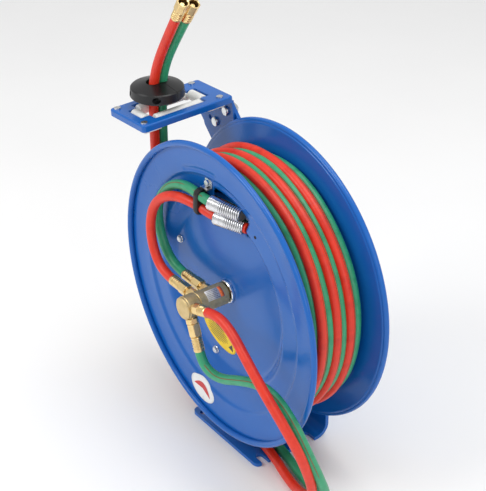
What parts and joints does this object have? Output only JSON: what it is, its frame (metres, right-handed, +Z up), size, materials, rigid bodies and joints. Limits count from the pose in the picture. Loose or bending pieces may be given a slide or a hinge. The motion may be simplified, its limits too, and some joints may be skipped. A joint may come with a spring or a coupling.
{
  "type": "twin welding hose reel",
  "caption": "Spring-driven reel on a steel foot that stores and pays out a joined fuel and oxygen hose through a roller guide, with a ball stop and supply leads.",
  "frame": {"origin": "on the underside of the base plate, straight below the reel's axis and midway between the two discs", "axes": "+Z up, the reel's axis along Y, the swivel and its hose connections facing -Y, the hose guide on the -X side"},
  "size_m": [0.418, 0.255, 0.596],
  "materials": {
    "blue_paint": "gloss blue powder coat",
    "zinc": "bright zinc plating",
    "steel": "plain machined steel",
    "brass": "machined brass",
    "white_nylon": "white nylon",
    "chrome": "polished plating",
    "black_rubber": "black satin rubber",
    "bushing": "oiled bronze",
    "spring_steel": "bright spring steel",
    "hose_red": "ribbed red rubber",
    "hose_green": "ribbed green rubber"
  },
  "bodies": {
    "frame": {"base_frame": "blue_paint", "guide_arm": "blue_paint", "arm_fasteners": "zinc", "guide_bracket": "blue_paint", "bracket_fasteners": "zinc", "roller_blocks": "white_nylon", "roller_pins": "zinc", "guide_rivets": "zinc", "main_axle": "steel", "axle_spacer": "steel", "axle_fasteners": "zinc", "swivel_stem": "brass", "inlet_manifold": "brass", "manifold_cap": "brass", "inlet_adapters": "brass", "inlet_nuts": "brass", "inlet_ferrules": "brass", "pawl_pin": "zinc", "pawl_spring": "spring_steel", "fuel_outlet_hose": "hose_red", "oxygen_outlet_hose": "hose_green", "fuel_inlet_hose": "hose_red", "oxygen_inlet_hose": "hose_green", "ball_stop_front": "black_rubber", "ball_stop_rear": "black_rubber", "ball_screws": "zinc", "outlet_ferrules": "brass", "supply_ferrules": "brass"},
    "drum": {"swivel_rotor": "brass", "whip_adapters": "brass", "whip_nuts": "brass", "whip_ferrules": "brass", "front_disc": "blue_paint", "back_disc": "blue_paint", "drum_core": "blue_paint", "drum_screws": "zinc", "bearing_hubs": "steel", "drum_bushings": "bushing", "hub_ring": "chrome", "hub_seal": "black_rubber", "spring_case": "steel", "main_spring": "spring_steel", "ratchet_wheel": "steel", "ratchet_screws": "zinc", "hose_pack": "hose_red", "fuel_whip_hose": "hose_red", "oxygen_whip_hose": "hose_green", "hose_guards": "spring_steel", "hose_clamp": "black_rubber", "clamp_bracket": "zinc", "clamp_screw": "zinc"},
    "roller_left_body": {"roller_left": "white_nylon"},
    "roller_right_body": {"roller_right": "white_nylon"},
    "roller_front_body": {"roller_front": "white_nylon"},
    "roller_back_body": {"roller_back": "white_nylon"},
    "pawl_body": {"pawl": "steel"},
    "fuel_outlet_nut_body": {"fuel_outlet_nut": "brass"},
    "oxygen_outlet_nut_body": {"oxygen_outlet_nut": "brass"},
    "fuel_supply_nut_body": {"fuel_supply_nut": "brass"},
    "oxygen_supply_nut_body": {"oxygen_supply_nut": "brass"}
  },
  "joints": [
    {"name": "drum_spin", "type": "hinge", "parent": "frame", "child": "drum", "pos_m": [0, 0, 0.232], "axis": [0, 1, 0], "continuous": true},
    {"name": "roller_left_spin", "type": "hinge", "parent": "frame", "child": "roller_left_body", "pos_m": [-0.18163, -0.00961, 0.4192], "axis": [-0.0021, 0.9994, 0.0348], "continuous": true},
    {"name": "roller_right_spin", "type": "hinge", "parent": "frame", "child": "roller_right_body", "pos_m": [-0.1407, -0.00961, 0.42163], "axis": [-0.0021, 0.9994, 0.0348], "continuous": true},
    {"name": "roller_front_spin", "type": "hinge", "parent": "frame", "child": "roller_front_body", "pos_m": [-0.16108, -0.05308, 0.4189], "axis": [0.9982, 0, 0.0593], "continuous": true},
    {"name": "roller_back_spin", "type": "hinge", "parent": "frame", "child": "roller_back_body", "pos_m": [-0.16126, 0.03387, 0.42193], "axis": [0.9982, 0, 0.0593], "continuous": true},
    {"name": "pawl_pivot", "type": "hinge", "parent": "frame", "child": "pawl_body", "pos_m": [0.048, 0.0395, 0.194], "axis": [0, -1, 0], "range_deg": [0, 12], "stiffness_Nm_per_rad": 0.02, "springref_deg": -20.05},
    {"name": "fuel_outlet_nut_spin", "type": "hinge", "parent": "frame", "child": "fuel_outlet_nut_body", "pos_m": [-0.08573, -0.03166, 0.58934], "axis": [0.5729, -0.0208, 0.8194], "continuous": true},
    {"name": "oxygen_outlet_nut_spin", "type": "hinge", "parent": "frame", "child": "oxygen_outlet_nut_body", "pos_m": [-0.09108, -0.01287, 0.58193], "axis": [0.5679, 0.0355, 0.8223], "continuous": true},
    {"name": "fuel_supply_nut_spin", "type": "hinge", "parent": "frame", "child": "fuel_supply_nut_body", "pos_m": [-0.05413, 0.14342, 0.00635], "axis": [0.999, 0.0444, 0], "continuous": true},
    {"name": "oxygen_supply_nut_spin", "type": "hinge", "parent": "frame", "child": "oxygen_supply_nut_body", "pos_m": [-0.0361, 0.117, 0.00635], "axis": [1, 0, 0], "continuous": true}
  ]
}
